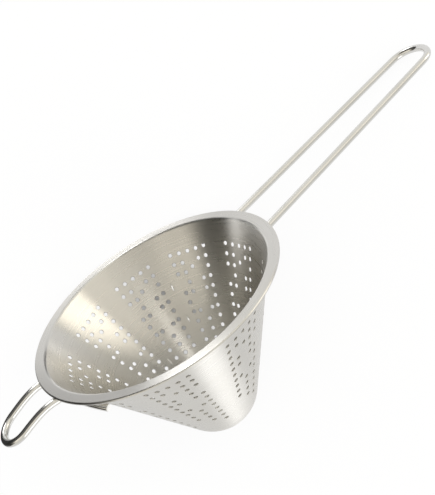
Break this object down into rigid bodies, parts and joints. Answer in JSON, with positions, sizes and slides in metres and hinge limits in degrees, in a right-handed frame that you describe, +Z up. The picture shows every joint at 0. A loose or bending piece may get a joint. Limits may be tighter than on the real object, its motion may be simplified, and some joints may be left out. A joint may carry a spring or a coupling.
{
  "type": "conical strainer",
  "caption": "Perforated conical kitchen strainer in stainless steel with a flat rolled rim, a long wire loop handle and a small wire pot hook welded under the rim.",
  "frame": {"origin": "on the table, under the middle of the whole object's box as it lies at rest on its rim, its tip and its handle's end", "axes": "+Z up from the table, +X level along the handle towards its end, +Y level towards the side that the mouth faces"},
  "size_m": [0.393, 0.151, 0.1525],
  "materials": {
    "sheet": "satin stainless sheet, spun brushing around the cone",
    "wire": "polished stainless wire",
    "weld": "dull weld bead"
  },
  "bodies": {
    "root": {"strainer_cone": "sheet", "handle_loop": "wire", "rest_hook": "wire", "handle_weld_right_1": "weld", "handle_weld_right_2": "weld", "handle_weld_left_1": "weld", "handle_weld_left_2": "weld", "hook_weld_right_1": "weld", "hook_weld_right_2": "weld", "hook_weld_left_1": "weld", "hook_weld_left_2": "weld"}
  },
  "joints": []
}
